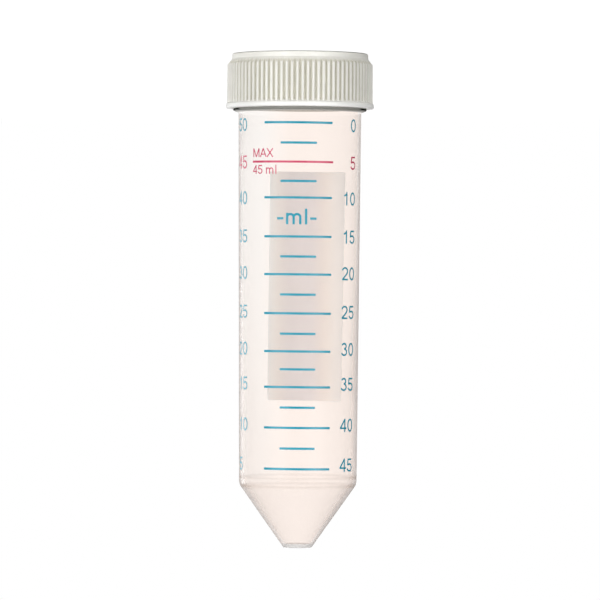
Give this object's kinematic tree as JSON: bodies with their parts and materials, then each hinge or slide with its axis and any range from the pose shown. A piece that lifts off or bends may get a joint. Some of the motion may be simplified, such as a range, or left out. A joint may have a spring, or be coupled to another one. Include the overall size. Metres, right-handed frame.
{
  "type": "conical centrifuge tube",
  "caption": "Translucent conical centrifuge tube with printed graduations and a flat-topped ribbed screw cap, standing on its cap.",
  "frame": {"origin": "middle of the cap's flat top, which is what the closed tube stands on", "axes": "+Z along the tube's axis from the cap to the tip; -Y is the printed front with the graduation lines"},
  "size_m": [0.0346, 0.0346, 0.116],
  "materials": {
    "tube_plastic": "translucent satin",
    "cap_plastic": "satin"
  },
  "bodies": {
    "cap": {"cap": "cap_plastic"},
    "tube": {"tube": "tube_plastic"}
  },
  "joints": [
    {"name": "tube_lift", "type": "slide", "parent": "cap", "child": "tube", "axis": [0, 0, 1], "range_m": [0, 0.03]}
  ]
}
